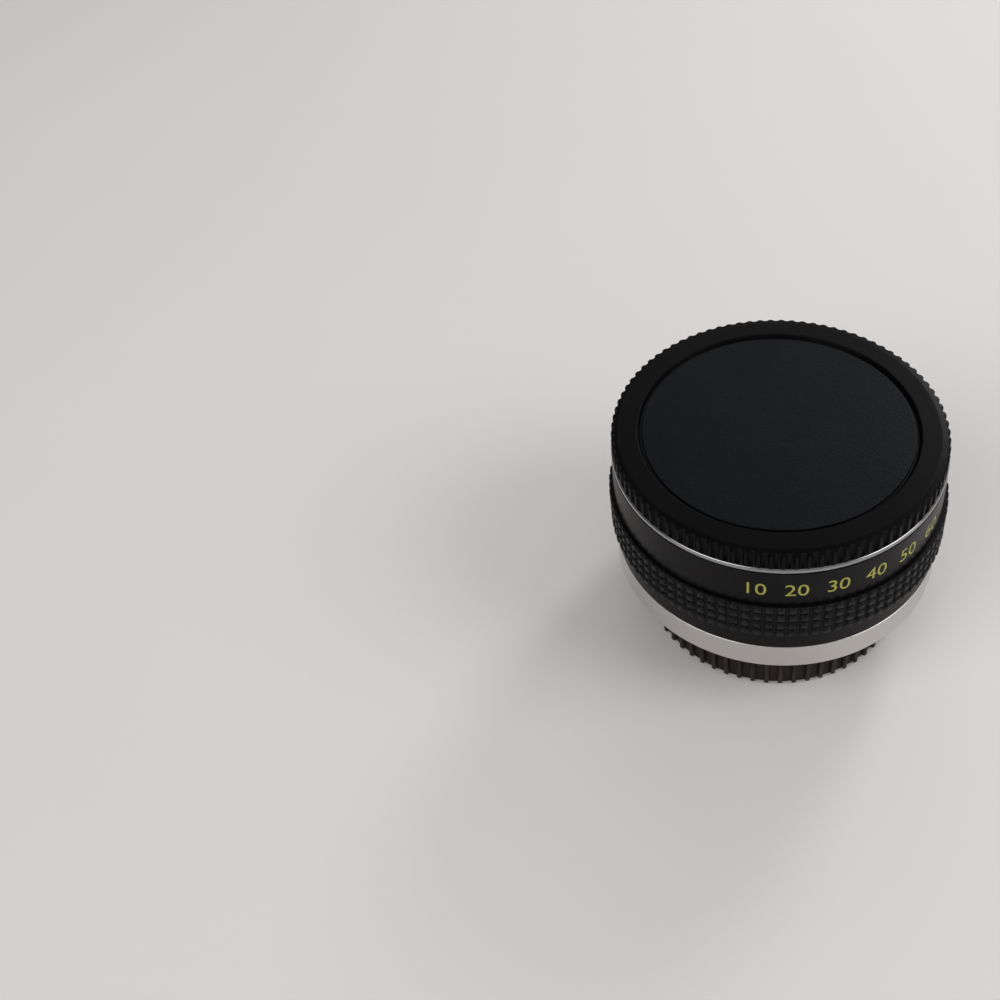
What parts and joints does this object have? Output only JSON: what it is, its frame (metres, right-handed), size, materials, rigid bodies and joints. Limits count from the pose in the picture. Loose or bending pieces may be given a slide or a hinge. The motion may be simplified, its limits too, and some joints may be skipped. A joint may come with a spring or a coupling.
{
  "type": "camera teleconverter",
  "caption": "Short round camera teleconverter with lens and camera bayonets, breech-lock ring, knurled grip, internal optics and levers, and fitted end caps.",
  "frame": {"origin": "centre of the rear cap's underside, on which the object stands", "axes": "+Z along the optical axis, towards the lens side; -Y is the side seen in the picture"},
  "size_m": [0.0666, 0.0666, 0.0483],
  "materials": {
    "cap_plastic_black": "fine grained, satin on worn edges",
    "cap_plastic_brown": "moulded, faintly brown black",
    "satin_aluminium": "satin turned",
    "polished_trim": "polished",
    "chromed_mount": "satin chromed brass",
    "black_anodised": "black anodised, satin",
    "black_grip": "black anodised knurl",
    "optical_black": "matt blackened",
    "coated_glass": "polished, blue and amber coating",
    "lever_brass": "turned",
    "lever_steel": "nickel plated",
    "spring_steel": "drawn wire",
    "screw_steel": "turned",
    "red_paint": "filled dot"
  },
  "bodies": {
    "rear_cap": {"rear_cap": "cap_plastic_brown"},
    "barrel": {"rear_mount": "chromed_mount", "rear_mount_screws": "screw_steel", "lock_pin_spring": "spring_steel", "barrel_shell": "black_anodised", "grip_ring": "black_grip", "name_band": "black_anodised", "chrome_trim_ring": "polished_trim", "front_mount": "chromed_mount", "front_mount_screws": "screw_steel", "front_index_dot": "red_paint", "mount_base_ring": "black_anodised", "base_ring_screws": "screw_steel", "throat_liner": "optical_black", "optics_tube": "optical_black", "tube_lock_ring": "optical_black", "lens_rear": "coated_glass", "lens_third": "coated_glass", "lens_second": "coated_glass", "lens_front": "coated_glass", "spacer_rear": "optical_black", "spacer_middle": "optical_black", "spacer_front": "optical_black", "front_retainer": "optical_black", "rear_baffle": "optical_black", "carrier_spacer": "optical_black", "carrier_retainer": "optical_black", "carrier_stop_screws": "screw_steel", "diaphragm_return_spring": "spring_steel", "signal_return_spring": "spring_steel", "aperture_pin": "lever_steel"},
    "breech_ring": {"breech_ring": "satin_aluminium", "breech_index_dot": "red_paint"},
    "front_cap": {"front_cap": "cap_plastic_black"},
    "diaphragm_drive": {"diaphragm_carrier": "lever_brass", "diaphragm_rear_lever": "lever_steel", "diaphragm_front_lever": "lever_steel"},
    "signal_drive": {"signal_carrier": "lever_brass", "signal_rear_lever": "lever_steel", "signal_front_lever": "lever_steel"},
    "lock_pin": {"lock_pin": "screw_steel"}
  },
  "joints": [
    {"name": "rear_cap_release", "type": "slide", "parent": "rear_cap", "child": "barrel", "axis": [0, 0, 1], "range_m": [0, 0.06]},
    {"name": "front_cap_lift", "type": "slide", "parent": "barrel", "child": "front_cap", "axis": [0, 0, 1], "range_m": [0, 0.06]},
    {"name": "breech_turn", "type": "hinge", "parent": "barrel", "child": "breech_ring", "pos_m": [0, 0, 0.0182], "axis": [0, 0, 1], "range_deg": [0, 60]},
    {"name": "diaphragm_drive_turn", "type": "hinge", "parent": "barrel", "child": "diaphragm_drive", "pos_m": [0, 0, 0.027], "axis": [0, 0, 1], "range_deg": [0, 18], "stiffness_Nm_per_rad": 0.01, "springref_deg": -11.46},
    {"name": "aperture_signal_turn", "type": "hinge", "parent": "barrel", "child": "signal_drive", "pos_m": [0, 0, 0.031], "axis": [0, 0, 1], "range_deg": [0, 30], "stiffness_Nm_per_rad": 0.01, "springref_deg": -11.46},
    {"name": "lock_pin_press", "type": "slide", "parent": "barrel", "child": "lock_pin", "axis": [0, 0, 1], "range_m": [0, 0.0007], "stiffness_N_per_m": 60, "springref_m": -0.0005, "deforming": ["lock_pin_spring"]}
  ]
}
